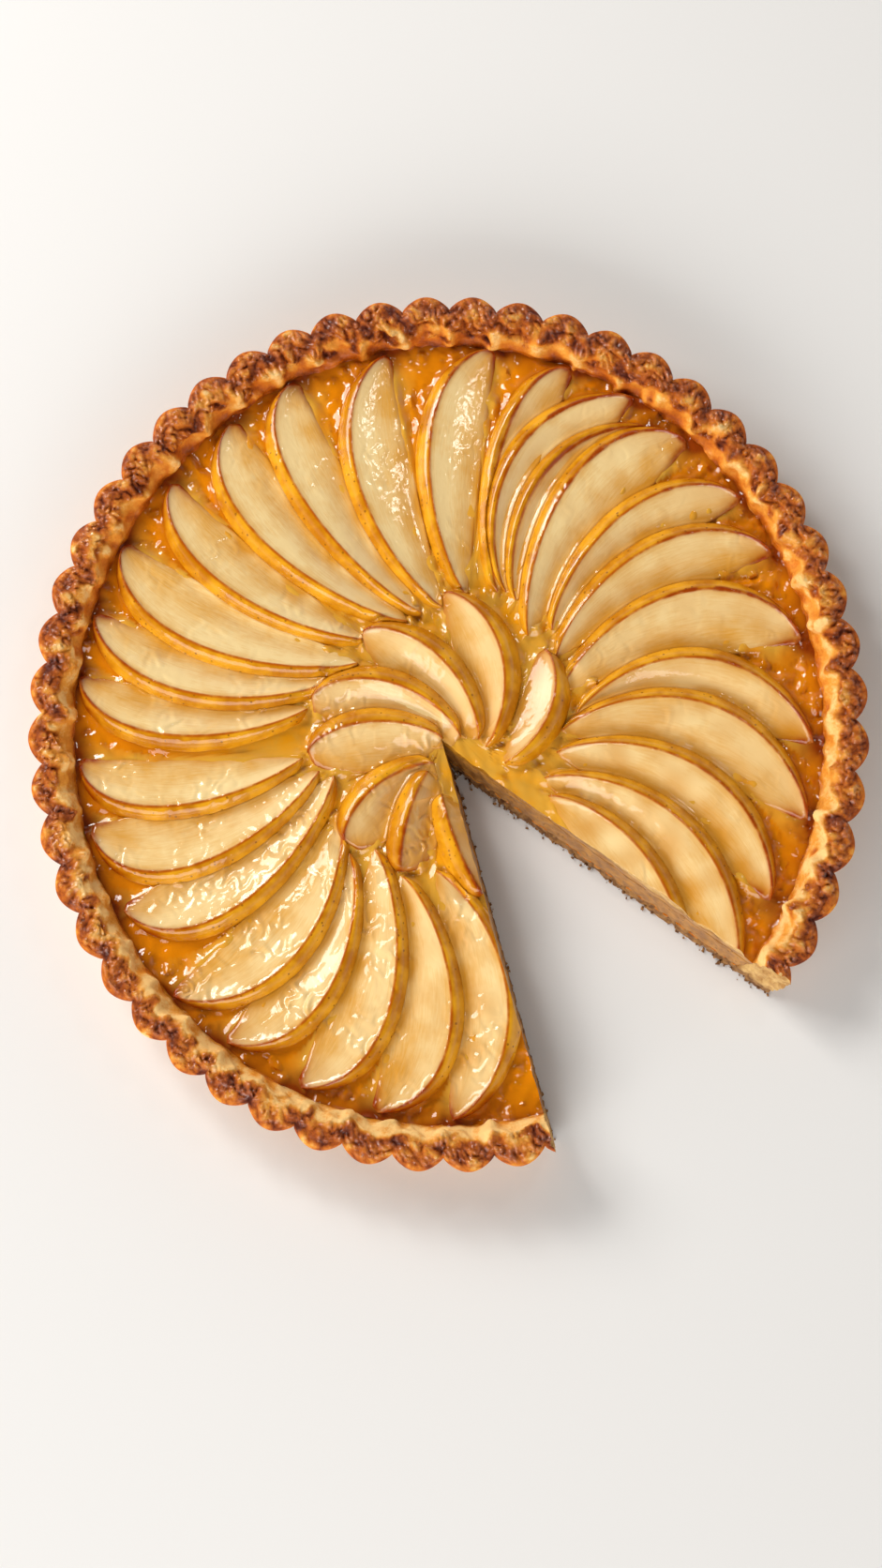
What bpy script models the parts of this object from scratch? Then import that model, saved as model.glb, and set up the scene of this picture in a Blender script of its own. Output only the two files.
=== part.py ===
"""A whole pear tart with one wedge already taken out.

A fluted shortcrust shell holds a cream filling, a thin layer of set jelly and a fan of glazed pear
slices: an outer ring of long slices with their skin towards the cut's left side, and an inner
rosette of shorter ones that turns the other way. Metres, +Z up, origin at the middle of the base.

Sizes in plan are worked out on a round tart of radius SHELL_R and then drawn out a little along Y
by OVAL, because the baked shell isn't quite round.
"""
import math
import random

import bmesh
import bpy
from mathutils import Vector

MM = 0.001

# The shell
SHELL_R = 0.1425
OVAL = 1.06
FLUTES = 52
STEPS_PER_FLUTE = 5
FLUTE_DEPTH = 0.0045
FLUTE_START_DEG = -0.45
FLUTE_DRIFT_DEG = 0.95
FLUTE_DRIFT_FROM_DEG = 20.0
RIM_HEIGHT = 0.0275
BASE_THICKNESS = 0.0050
WALL_FOOT_R = 0.1240
JELLY_LINE_R = 0.1278
SLOPE_TOP_R = 0.1296
SLOPE_TOP_LEVEL = 0.80
LOBE_POWER = 0.8
CRAG_HEIGHT = 0.0011
CRAG_REACH = 0.0006
CRAG_SEED = 28

# The layers, from the base up, with a hair of air between neighbouring solids
GAP = 0.0003
WALL_GAP = 0.0004
FILLING_TOP = 0.0154
JELLY_TOP = 0.0180
LAYER_STEPS = 90

# The missing wedge: where its point lies, and which way each cut runs in plan
WEDGE_POINT = (-0.0028, -0.0041)
RIGHT_CUT_DEG = -36.0
LEFT_CUT_DEG = -75.0
RIGHT_CUT_LEAN_DEG = 8.0
LEFT_CUT_LEAN_DEG = 4.5
CUT_LEVEL = 0.022
CUT_REACH = 0.26
CUT_BOTTOM = -0.006
CUT_TOP = 0.045

# A pear slice's own section: the skin band outside the crease, and the flesh falling to the core
PEAR_BASE = JELLY_TOP + GAP
SECTION_STEPS = 9
OUTER_BAND = 0.0042
OUTER_CREST = 0.0052
INNER_BAND = 0.0056
INNER_CREST = 0.0063
CORE_EDGE = 0.0017
BAND_SWELL_AT = 0.72
BAND_SWELL_LEVEL = 0.60
END_BAND = 0.55
END_CREST = 0.62
BULGE_POWER = 0.80
CLEARANCE = 0.0004
CLEARING_BELOW = 0.002
CLEARING_ABOVE = 0.012
MERGE = 0.00002

# Outer ring, clockwise from the left cut: the blunt tip's angle, the neck's turn from it,
# the tip's and the neck's distance from the middle, the bulge of the skin side, and how far
# along the slice it is fullest
OUTER_SLICES = (
    (270.0, -6.5, 126, 47, 22.0, 0.45),
    (258.0, -6.5, 126, 51, 23.0, 0.38),
    (246.0, -9.0, 126, 47, 22.0, 0.38),
    (233.0, -3.0, 126, 53, 21.0, 0.40),
    (222.5, -6.5, 127, 46, 23.0, 0.43),
    (207.5, -6.0, 125, 42, 22.0, 0.37),
    (194.5, 3.0, 126, 46, 23.0, 0.35),
    (184.5, 6.5, 126, 50, 18.0, 0.36),
    (172.0, 0.5, 127, 48, 17.5, 0.39),
    (162.5, -3.5, 127, 43, 19.0, 0.42),
    (151.0, -6.0, 127, 37, 21.5, 0.38),
    (139.0, -5.0, 125, 40, 18.0, 0.39),
    (125.5, -14.5, 126, 37, 21.5, 0.36),
    (114.0, -11.0, 127, 38, 19.0, 0.34),
    (99.0, -7.0, 126, 39, 20.5, 0.41),
    (82.0, -1.0, 127, 43, 19.5, 0.38),
    (69.5, -1.0, 127, 47, 15.5, 0.36),
    (59.0, 6.0, 127, 48, 24.0, 0.47),
    (54.0, 6.0, 121, 47, 20.0, 0.45),
    (48.0, -1.5, 126, 40, 23.5, 0.37),
    (36.0, 5.0, 126, 47, 19.5, 0.41),
    (26.5, 4.5, 125, 43, 20.5, 0.42),
    (12.5, 3.5, 124, 40, 25.0, 0.42),
    (357.0, 6.5, 124, 43, 25.0, 0.49),
    (345.5, 11.0, 125, 38, 26.0, 0.49),
    (332.0, 13.5, 122, 37, 24.0, 0.48),
    (319.0, 12.0, 126, 36, 24.5, 0.50),
    (308.0, 17.0, 126, 40, 19.5, 0.54),
)
OUTER_CORE_HOLLOW = 2.0

# Inner rosette, each slice lying over the one before: tip angle and distance, neck angle and
# distance, bulge of the skin side, and how far the flesh swells on the core side
INNER_SLICES = (
    (39.0, 41, 326.0, 22, 9.5, 1),
    (93.5, 44, 328.5, 14, 14.0, 1),
    (134.5, 43, 334.0, 11, 11.5, 5),
    (170.0, 48, 313.0, 6, 12.0, 8),
    (191.0, 49, 250.0, 5, 8.0, 8),
    (227.5, 52, 250.0, 13, 7.0, 9),
    (251.5, 50, 246.0, 16, 2.5, 9),
    (282.0, 56, 264.0, 22, 2.0, 6),
)
INNER_BELLY = 0.46

CRUST_COLOUR = (0.50, 0.20, 0.055)
FILLING_COLOUR = (0.86, 0.70, 0.42)
JELLY_COLOUR = (0.62, 0.28, 0.03)
PEAR_COLOUR = (0.85, 0.58, 0.20)


def clear_scene():
    for obj in list(bpy.data.objects):
        bpy.data.objects.remove(obj, do_unlink=True)


def material(name, colour, roughness):
    mat = bpy.data.materials.new(name)
    mat.use_nodes = True
    shader = mat.node_tree.nodes["Principled BSDF"]
    shader.inputs["Base Color"].default_value = (*colour, 1.0)
    shader.inputs["Roughness"].default_value = roughness
    shader.inputs["Metallic"].default_value = 0.0
    return mat


def add_object(name, bm, mat=None):
    """Turn a bmesh into a named object whose faces point outwards."""
    bmesh.ops.recalc_face_normals(bm, faces=bm.faces)
    mesh = bpy.data.meshes.new(name)
    bm.to_mesh(mesh)
    bm.free()
    obj = bpy.data.objects.new(name, mesh)
    bpy.context.collection.objects.link(obj)
    if mat is not None:
        mesh.materials.append(mat)
    return obj


def plan(radius, degrees):
    """A plan point of the oval tart, from its place on the round one."""
    angle = math.radians(degrees)
    return Vector((radius * math.cos(angle), radius * math.sin(angle) * OVAL))


def ring(bm, count, point_at):
    """One closed row of vertices, point_at(i) giving radius, degrees and height."""
    row = []
    for i in range(count):
        radius, degrees, height = point_at(i)
        spot = plan(radius, degrees)
        row.append(bm.verts.new((spot.x, spot.y, height)))
    return row


def close_rows(bm, rows):
    """Walls between neighbouring rows, and a flat face on the first and the last."""
    count = len(rows[0])
    for low, high in zip(rows, rows[1:]):
        for i in range(count):
            j = (i + 1) % count
            bm.faces.new((low[i], low[j], high[j], high[i]))
    bm.faces.new(rows[0])
    bm.faces.new(rows[-1])


def inner_wall_radius(height):
    """The shell's inner wall leans out from its foot on the base to the jelly line."""
    share = (height - BASE_THICKNESS) / (JELLY_TOP - BASE_THICKNESS)
    return WALL_FOOT_R + (JELLY_LINE_R - WALL_FOOT_R) * share


def make_crust(mat):
    """The fluted shell: outside wall, craggy rim, smooth slope inside, and the flat base."""
    count = FLUTES * STEPS_PER_FLUTE
    crags = random.Random(CRAG_SEED)

    def lobe(i):
        return abs(math.sin(math.pi * i / STEPS_PER_FLUTE)) ** LOBE_POWER

    def turn(i):
        even = 360.0 * i / count
        drift = math.cos(math.radians(even - FLUTE_DRIFT_FROM_DEG))
        return FLUTE_START_DEG + even + FLUTE_DRIFT_DEG * drift

    # Radius in from SHELL_R, share of the flute's depth, share of the rim's height, crag share
    profile = (
        (0.0092, 0.80, 0.0, 0.0),
        (0.0070, 0.90, 0.42, 0.0),
        (0.0047, 1.0, 0.84, 0.25),
        (0.0053, 0.92, 0.955, 0.8),
        (0.0082, 0.45, 1.0, 1.0),
        (0.0108, 0.25, 0.955, 0.7),
    )
    bm = bmesh.new()
    rows = []
    for inset, flute_share, level, crag_share in profile:
        def point(i):
            reach = crags.uniform(-1, 1) * CRAG_REACH * crag_share
            lift = crags.uniform(-1, 1) * CRAG_HEIGHT * crag_share
            radius = SHELL_R - inset + FLUTE_DEPTH * flute_share * lobe(i) + reach
            return radius, turn(i), RIM_HEIGHT * level + lift
        rows.append(ring(bm, count, point))
    for radius, height in (
            (SLOPE_TOP_R, RIM_HEIGHT * SLOPE_TOP_LEVEL),
            (JELLY_LINE_R, JELLY_TOP),
            (WALL_FOOT_R, BASE_THICKNESS)):
        rows.append(ring(bm, count, lambda i: (radius, turn(i), height)))
    close_rows(bm, rows)
    return add_object("crust", bm, mat)


def make_layer(name, low, high, mat):
    """A flat layer that fills the shell between two heights."""
    bm = bmesh.new()
    rows = []
    for height in (low, high):
        radius = inner_wall_radius(height) - WALL_GAP
        rows.append(ring(bm, LAYER_STEPS, lambda i: (radius, 360.0 * i / LAYER_STEPS, height)))
    close_rows(bm, rows)
    return add_object(name, bm, mat)


def cut_corner(height):
    """The wedge's point and its two sides' directions at one height."""
    drop = CUT_LEVEL - height
    right = math.radians(RIGHT_CUT_DEG)
    left = math.radians(LEFT_CUT_DEG)
    right_way = Vector((math.cos(right), math.sin(right)))
    left_way = Vector((math.cos(left), math.sin(left)))
    into_gap_right = Vector((right_way.y, -right_way.x))
    into_gap_left = Vector((-left_way.y, left_way.x))
    point = Vector(WEDGE_POINT)
    on_right = point + into_gap_right * drop * math.tan(math.radians(RIGHT_CUT_LEAN_DEG))
    on_left = point + into_gap_left * drop * math.tan(math.radians(LEFT_CUT_LEAN_DEG))
    cross = right_way.x * left_way.y - right_way.y * left_way.x
    between = on_left - on_right
    along = (between.x * left_way.y - between.y * left_way.x) / cross
    return on_right + right_way * along, right_way, left_way


def make_wedge_cutter():
    """The space of the missing wedge, a little narrower at the base than at the rim."""
    bm = bmesh.new()
    rows = []
    for height in (CUT_BOTTOM, CUT_TOP):
        point, right_way, left_way = cut_corner(height)
        corners = (point, point + right_way * CUT_REACH, point + left_way * CUT_REACH)
        rows.append([bm.verts.new((spot.x, spot.y, height)) for spot in corners])
    for i in range(3):
        j = (i + 1) % 3
        bm.faces.new((rows[0][i], rows[0][j], rows[1][j], rows[1][i]))
    bm.faces.new(rows[0])
    bm.faces.new(rows[1])
    bmesh.ops.triangulate(bm, faces=bm.faces)
    return add_object("wedge_cutter", bm)


def swell(share, belly):
    """How full a slice is at a share of its length: blunt at the tip, fine at the neck."""
    skewed = share ** (math.log(0.5) / math.log(belly))
    return max(0.0, 4.0 * skewed * (1.0 - skewed)) ** BULGE_POWER


class Slice:
    """One pear slice: its long axis, and its sections across it."""

    def __init__(self, name, tip, neck, bulge, belly, core, band, crest):
        self.name = name
        self.tip = tip
        self.neck = neck
        self.bulge = bulge
        self.belly = belly
        self.core = core
        self.band = band
        self.crest = crest
        along = (neck - tip).normalized()
        self.across = Vector((-along.y, along.x)) * math.copysign(1.0, bulge)

    def section(self, share):
        """Five points across: band foot, band swell, crease, core edge and core foot."""
        fullness = swell(share, self.belly)
        ends = END_BAND + (1 - END_BAND) * math.sin(math.pi * share) ** 0.5
        crease = abs(self.bulge) * fullness + 0.0006
        core = self.core * fullness ** 0.7 - 0.0004
        band = self.band * ends
        crest = self.crest * (END_CREST + (1 - END_CREST) * math.sin(math.pi * share) ** 0.6)
        core_edge = min(CORE_EDGE, crest * 0.5)
        middle = self.tip.lerp(self.neck, share)
        points = []
        for side, height in (
                (crease + band, 0.0),
                (crease + band * BAND_SWELL_AT, crest * BAND_SWELL_LEVEL),
                (crease, crest),
                (core, core_edge),
                (core, 0.0)):
            spot = middle + self.across * side
            points.append((spot.x, spot.y, PEAR_BASE + height))
        return points

    def shares(self):
        """Sections crowd towards both ends, where the outline turns fastest."""
        steps = SECTION_STEPS
        return [0.004 + 0.992 * (0.5 - 0.5 * math.cos(math.pi * i / steps)) for i in range(steps + 1)]

    def solid(self, mat):
        bm = bmesh.new()
        rows = [[bm.verts.new(p) for p in self.section(s)] for s in self.shares()]
        close_rows(bm, rows)
        bmesh.ops.triangulate(bm, faces=bm.faces)
        return add_object(self.name, bm, mat)

    def clearing(self):
        """A cutter with the slice's outline, a hair larger, that clears the slice beneath it."""
        skin_side = []
        core_side = []
        for share in self.shares():
            section = self.section(share)
            skin_side.append(Vector(section[0][:2]) + self.across * CLEARANCE)
            core_side.append(Vector(section[4][:2]) - self.across * CLEARANCE)
        along = (self.neck - self.tip).normalized() * CLEARANCE
        for side in (skin_side, core_side):
            side[0] = side[0] - along
            side[-1] = side[-1] + along
        outline = skin_side + core_side[::-1]
        bm = bmesh.new()
        low = [bm.verts.new((p.x, p.y, PEAR_BASE - CLEARING_BELOW)) for p in outline]
        high = [bm.verts.new((p.x, p.y, PEAR_BASE + CLEARING_ABOVE)) for p in outline]
        close_rows(bm, [low, high])
        return add_object("clearing_" + self.name, bm)

    def box(self):
        xs = [p[0] for s in self.shares() for p in self.section(s)]
        ys = [p[1] for s in self.shares() for p in self.section(s)]
        return min(xs), min(ys), max(xs), max(ys)

    def near(self, other):
        a = self.box()
        b = other.box()
        return a[0] < b[2] and b[0] < a[2] and a[1] < b[3] and b[1] < a[3]


def outer_ring():
    slices = []
    for number, (angle, turn, tip_mm, neck_mm, bulge, belly) in enumerate(OUTER_SLICES, 1):
        slices.append(Slice(
            "pear_outer_%02d" % number,
            plan(tip_mm * MM, angle),
            plan(neck_mm * MM, angle + turn),
            -bulge * MM, belly, OUTER_CORE_HOLLOW * MM, OUTER_BAND, OUTER_CREST))
    return slices


def inner_rosette():
    slices = []
    for number, (angle, tip_mm, neck_angle, neck_mm, bulge, core) in enumerate(INNER_SLICES, 1):
        slices.append(Slice(
            "pear_inner_%d" % number,
            plan(tip_mm * MM, angle),
            plan(neck_mm * MM, neck_angle),
            bulge * MM, INNER_BELLY, -core * MM, INNER_BAND, INNER_CREST))
    return slices


def cut_away(obj, cutters):
    """Boolean the cutters out of an object, and keep the largest piece that is left."""
    for cutter in cutters:
        cut = obj.modifiers.new("cut " + cutter.name, "BOOLEAN")
        cut.operation = "DIFFERENCE"
        cut.solver = "EXACT"
        cut.object = cutter
    graph = bpy.context.evaluated_depsgraph_get()
    mesh = bpy.data.meshes.new_from_object(obj.evaluated_get(graph))
    obj.modifiers.clear()
    bm = bmesh.new()
    bm.from_mesh(mesh)
    bmesh.ops.remove_doubles(bm, verts=bm.verts, dist=MERGE)
    drop_scraps(bm)
    bm.to_mesh(mesh)
    bm.free()
    mesh.name = obj.name
    obj.data = mesh


def drop_scraps(bm):
    """Keep only the island of faces that covers the most area."""
    left = set(bm.faces)
    islands = []
    while left:
        start = left.pop()
        island = {start}
        edge_on = [start]
        while edge_on:
            face = edge_on.pop()
            for edge in face.edges:
                for other in edge.link_faces:
                    if other in left:
                        left.remove(other)
                        island.add(other)
                        edge_on.append(other)
        islands.append(island)
    keep = max(islands, key=lambda island: sum(face.calc_area() for face in island))
    loose = [face for face in bm.faces if face not in keep]
    bmesh.ops.delete(bm, geom=loose, context="FACES")


def make_pears(mat, wedge):
    """Every slice gives way to those that lie on it, and to the cuts."""
    outer = outer_ring()
    inner = inner_rosette()
    above = {}
    for i, piece in enumerate(outer):
        above[piece.name] = outer[i + 1:i + 4] + inner
    for i, piece in enumerate(inner):
        above[piece.name] = inner[i + 1:]
    solids = {piece.name: piece.solid(mat) for piece in outer + inner}
    clearings = {piece.name: piece.clearing() for piece in outer + inner}
    for piece in outer + inner:
        cutters = [clearings[top.name] for top in above[piece.name] if piece.near(top)]
        cut_away(solids[piece.name], cutters + [wedge])
    for cutter in clearings.values():
        bpy.data.objects.remove(cutter, do_unlink=True)


def main():
    clear_scene()
    wedge = make_wedge_cutter()
    crust = make_crust(material("baked_crust", CRUST_COLOUR, 0.55))
    filling = make_layer(
        "filling", BASE_THICKNESS + GAP, FILLING_TOP, material("cream_filling", FILLING_COLOUR, 0.6))
    glaze = make_layer("glaze", FILLING_TOP + GAP, JELLY_TOP, material("jelly", JELLY_COLOUR, 0.1))
    for layer in (crust, filling, glaze):
        cut_away(layer, [wedge])
    make_pears(material("glazed_pear", PEAR_COLOUR, 0.25), wedge)
    bpy.data.objects.remove(wedge, do_unlink=True)


main()
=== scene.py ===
# %% [markdown]
# A pear tart with one wedge gone, seen from above.
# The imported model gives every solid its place: a fluted crust, a cream filling, a layer of set
# jelly, a ring of long pear slices and a rosette of short ones. This lesson dresses them: it
# makes each one again with a fine surface, in the same place and form, and gives it a material.

# %% Load the model
import math

import bpy
import numpy as np
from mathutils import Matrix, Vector, kdtree


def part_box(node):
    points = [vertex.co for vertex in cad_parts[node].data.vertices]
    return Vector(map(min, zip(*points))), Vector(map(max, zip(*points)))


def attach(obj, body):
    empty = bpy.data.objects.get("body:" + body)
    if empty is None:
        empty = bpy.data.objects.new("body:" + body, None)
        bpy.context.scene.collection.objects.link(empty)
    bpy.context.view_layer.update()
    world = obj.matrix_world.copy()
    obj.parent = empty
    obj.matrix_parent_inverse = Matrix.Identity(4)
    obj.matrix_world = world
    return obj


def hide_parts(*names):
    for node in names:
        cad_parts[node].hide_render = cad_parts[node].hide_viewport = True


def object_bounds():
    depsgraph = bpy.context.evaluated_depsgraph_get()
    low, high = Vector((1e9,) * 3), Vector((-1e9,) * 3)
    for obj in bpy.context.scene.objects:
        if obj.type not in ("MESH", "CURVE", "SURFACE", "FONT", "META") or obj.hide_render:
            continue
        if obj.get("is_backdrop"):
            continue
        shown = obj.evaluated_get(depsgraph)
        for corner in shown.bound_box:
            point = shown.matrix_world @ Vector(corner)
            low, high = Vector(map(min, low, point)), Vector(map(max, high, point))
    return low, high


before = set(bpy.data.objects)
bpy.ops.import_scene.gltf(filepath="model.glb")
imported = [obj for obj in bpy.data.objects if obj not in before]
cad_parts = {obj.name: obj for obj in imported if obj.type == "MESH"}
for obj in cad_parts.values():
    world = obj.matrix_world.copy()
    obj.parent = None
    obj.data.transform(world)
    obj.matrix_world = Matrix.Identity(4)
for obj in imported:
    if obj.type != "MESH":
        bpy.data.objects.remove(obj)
cad_low, cad_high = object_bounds()
print("size in mm:", [round(1000 * s, 1) for s in cad_high - cad_low])

# %% [markdown]
# The camera comes first, because it says how fine the detail has to be. It hangs almost straight
# above the tart, tilted by ten degrees, and its long lens keeps the rim nearly round.

# %% Camera
CAMERA_SPOT = (-0.0026, -0.1864, 0.9629)
CAMERA_TILT = math.radians(10)
bpy.ops.object.camera_add(location=CAMERA_SPOT, rotation=(CAMERA_TILT, 0, 0))
camera = bpy.context.object
camera.name = "camera"
camera.data.lens = 65
camera.data.sensor_width = 36
bpy.context.scene.camera = camera
print("camera above the tart by", round(CAMERA_SPOT[2], 3), "m")

# %% [markdown]
# Sizes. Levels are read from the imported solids. What the solids can't tell, such as how deep a
# flute is, is repeated here from the model, in metres.

# %% Levels and plan
MM = 0.001
OVAL = 1.06
RIM_R = 142.5 * MM
FLUTES = 52
FLUTE_DEPTH = 4.5 * MM
JELLY_R = 127.8 * MM
FOOT_R = 124.0 * MM
BASE_TOP = 5.0 * MM
WALL_GAP = 0.4 * MM
filling_low, filling_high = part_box("filling")
jelly_low, jelly_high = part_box("glaze")
PEAR_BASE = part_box("pear_outer_10")[0].z
print("jelly top", round(jelly_high.z / MM, 2), "pears stand on", round(PEAR_BASE / MM, 2), "mm")


def plan(radius, degrees):
    """A point of the oval tart, from its place on a round one."""
    angle = np.radians(degrees)
    return np.stack([radius * np.cos(angle), radius * np.sin(angle) * OVAL], axis=-1)


# %% [markdown]
# Baked and glazed food is uneven at every size, so most surfaces here are shaped by two kinds of
# chance. Ripples are a sum of waves that run every way, which suits glaze and soft dough. Pebbles
# measure how far each point is from the nearest of many scattered seeds, which suits bubbles,
# crumbs and crags. Both are worked out for all points at once, and both come out the same each run.

# %% Ripples
def unit(values):
    """Values kept from 0 to 1."""
    return np.clip(values, 0, 1)


def ripples(points, size, seed, count=26):
    """A smooth uneven height about zero, whose hills lie about one size apart."""
    rng = np.random.default_rng(seed)
    ways = rng.normal(size=(count, points.shape[1]))
    ways /= np.linalg.norm(ways, axis=1)[:, None]
    ways *= (2 * np.pi / (size * rng.uniform(0.75, 1.4, count)))[:, None]
    phases = rng.uniform(0, 2 * np.pi, count)
    return np.sin(points @ ways.T + phases).sum(axis=1) * math.sqrt(2 / count)


# %% Pebbles
def chance(cell, seed):
    """A fixed random share for each whole-numbered cell."""
    # Large odd numbers stir the cell's place until neighbours have nothing in common
    mixed = (cell.astype(np.int64) * (73856093, 19349663, 83492791)).sum(axis=1)
    mixed = (mixed + seed * 2654435761).astype(np.uint64)
    mixed ^= mixed >> np.uint64(31)
    mixed *= np.uint64(0x9E3779B97F4A7C15)
    mixed ^= mixed >> np.uint64(29)
    return (mixed >> np.uint64(11)).astype(float) / 2.0 ** 53


def pebbles(points, size, seed):
    """Domes about one size apart: a height from 0 to 1, and a share that each dome keeps."""
    spots = points / size
    home = np.floor(spots)
    nearest = np.full(len(points), 9.0)
    share = np.zeros(len(points))
    steps = (-1, 0, 1)
    for offset in [(i, j, k) for i in steps for j in steps for k in steps]:
        cell = home + offset
        jitter = np.stack([chance(cell, seed + n) for n in (1, 2, 3)], axis=1)
        away = np.linalg.norm(cell + jitter - spots, axis=1)
        closer = away < nearest
        nearest[closer] = away[closer]
        share[closer] = chance(cell[closer], seed + 4)
    return np.sqrt(unit(1 - nearest ** 2)), share


# %% [markdown]
# Small helpers keep the mesh work short. They read all points of a mesh, write them back, store
# values for each point, which a material reads later by their name, and select one object.

# %% Points of a mesh
def get_points(obj):
    points = np.empty(len(obj.data.vertices) * 3)
    obj.data.vertices.foreach_get("co", points)
    return points.reshape(-1, 3)


def set_points(obj, points):
    obj.data.vertices.foreach_set("co", points.ravel())
    obj.data.update()


def keep_value(obj, name, values):
    """Store three values for each point, such as how skin-like, pooled and toasted it is."""
    made = obj.data.attributes.new(name, "FLOAT_VECTOR", "POINT")
    made.data.foreach_set("vector", np.stack(values, axis=1).astype(np.float32).ravel())


def only(obj):
    """Make this the one selected and active object."""
    bpy.ops.object.select_all(action="DESELECT")
    obj.select_set(True)
    bpy.context.view_layer.objects.active = obj


# %% [markdown]
# Each piece starts as a drum: a cylinder whose side is cut into many rows. A drum is closed and
# even, and each of its points knows its turn round the drum and its height up it. Those two
# numbers are then turned into a place on the real thing. It is like pulling a knitted tube over a
# form, and it leaves a mesh of near-square faces that takes fine relief well.

# %% Drum
# A tall drum is cut in two passes, so that neither pass makes more rows at once than this
MOST_CUTS = 90
UPRIGHT = 1e-6


def drum(name, columns, rows):
    """A closed cylinder of radius 1 and height 1, with this many columns and rows."""
    bpy.ops.object.select_all(action="DESELECT")
    bpy.ops.mesh.primitive_cylinder_add(vertices=columns, radius=1, depth=1, location=(0, 0, 0))
    obj = bpy.context.object
    obj.name = obj.data.name = name
    halves = 1
    while rows // halves > MOST_CUTS:
        halves *= 2
    for cuts in (halves - 1, rows // halves - 1):
        if cuts:
            heights = get_points(obj)[:, 2]
            upright = [abs(heights[a] - heights[b]) > UPRIGHT for a, b in obj.data.edge_keys]
            bpy.ops.object.mode_set(mode="EDIT")
            bpy.ops.mesh.select_mode(type="EDGE")
            bpy.ops.mesh.select_all(action="DESELECT")
            bpy.ops.object.mode_set(mode="OBJECT")
            obj.data.edges.foreach_set("select", upright)
            bpy.ops.object.mode_set(mode="EDIT")
            bpy.ops.mesh.subdivide(number_cuts=cuts)
            bpy.ops.object.mode_set(mode="OBJECT")
    return obj


def drum_places(obj):
    """Each point's turn in degrees, from 0 to 360, and its row's share of the height."""
    points = get_points(obj)
    turn = np.degrees(np.arctan2(points[:, 1], points[:, 0])) % 360
    return turn, points[:, 2] + 0.5


# %% [markdown]
# The missing wedge. Both cuts lean a little, so the gap is narrower at the base than at the top.
# The same cutter goes through every layer and every slice that meets it, like the one knife did.

# %% Wedge cutter
WEDGE_POINT = np.array((-2.8, -4.1)) * MM
RIGHT_CUT, RIGHT_LEAN = math.radians(-36), math.radians(8)
LEFT_CUT, LEFT_LEAN = math.radians(-75), math.radians(4.5)
CUT_LEVEL = 22 * MM
right_way = np.array((math.cos(RIGHT_CUT), math.sin(RIGHT_CUT)))
left_way = np.array((math.cos(LEFT_CUT), math.sin(LEFT_CUT)))
into_right = np.array((right_way[1], -right_way[0]))
into_left = np.array((-left_way[1], left_way[0]))


def cut_depth(points):
    """How far each point is inside the missing wedge: above zero, it is cut away."""
    drop = CUT_LEVEL - points[:, 2]
    flat = points[:, :2] - WEDGE_POINT
    return np.minimum(flat @ into_right - drop * math.tan(RIGHT_LEAN),
                      flat @ into_left - drop * math.tan(LEFT_LEAN))


# %% Wall between the filling and the crust
def wall_radius(height):
    """The crust's inner wall leans out from its foot to the jelly line."""
    risen = np.clip(height - BASE_TOP, 0, None) / (jelly_high.z - BASE_TOP)
    return FOOT_R + (JELLY_R - FOOT_R) * risen


# %% Wedge cutter's mesh
CUT_STEPS = 270
CUTTER_REACH = 180 * MM
# Rows lie close where there is food to cut, with one row far below it and one far above
cut_heights = np.concatenate([[-6.0], np.linspace(-0.7, 28.7, 50), [45.0]]) * MM


def wedge_corner(height):
    """Where the two cuts meet at each height."""
    drop = CUT_LEVEL - np.asarray(height)
    sides = np.linalg.inv(np.array((into_right, into_left)))
    moved = np.stack([drop * math.tan(RIGHT_LEAN), drop * math.tan(LEFT_LEAN)], axis=-1)
    return WEDGE_POINT + moved @ sides.T


cutter = drum("wedge_cutter", 2 * CUT_STEPS, len(cut_heights) - 1)
turn, row = drum_places(cutter)
column = np.round(turn / 360 * 2 * CUT_STEPS).astype(int) % (2 * CUT_STEPS)
height = cut_heights[np.round(row * (len(cut_heights) - 1)).astype(int)]
on_left = column <= CUT_STEPS
steps_out = np.where(on_left, column, 2 * CUT_STEPS - column)
reach = CUTTER_REACH * steps_out / CUT_STEPS
points = np.column_stack([
    wedge_corner(height) + reach[:, None] * np.where(on_left[:, None], left_way, right_way), height])
print("wedge point at the base, mm:", np.round(wedge_corner(0) / MM, 1))

# %% [markdown]
# A knife tears crust, drags cream and slips cleanly through jelly. Each layer could be roughened
# after it is cut, but then their edges would no longer meet. So the cutter's own two faces are
# rough where they meet the crust, finely pitted in the cream and nearly smooth above it, and
# every layer that it cuts takes over its own share of that. The depths are in millimetres.

# %% Knife marks
SMOOTH_POINT = 3 * MM
flat_r = np.hypot(points[:, 0], points[:, 1] / OVAL)
in_crust = (height < BASE_TOP + 0.2 * MM) | (flat_r > wall_radius(height))
in_cream = ~in_crust & (height < filling_high.z + 0.1 * MM)
crumbs, crumb_share = pebbles(points, 2.4 * MM, 21)
grit = pebbles(points, 1.2 * MM, 22)[0]
rough = 0.9 * crumbs * (crumb_share > 0.35) + 0.45 * grit - 0.55
pitted = 0.22 * grit + 0.16 * ripples(points, 4 * MM, 23) - 0.1
clean = 0.12 * ripples(points, 7 * MM, 24)
rough = np.where(in_crust, rough, np.where(in_cream, pitted, clean))
rough = rough * unit(reach / SMOOTH_POINT) * (reach < 0.99 * CUTTER_REACH)
inward = np.where(on_left[:, None], into_left, into_right)
points[:, :2] += inward * (rough * MM)[:, None]
set_points(cutter, points)


def two_slots(obj):
    """Room for two materials: the first for the outside, the second for what the knife laid bare."""
    for _ in range(2):
        obj.data.materials.append(None)


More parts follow.
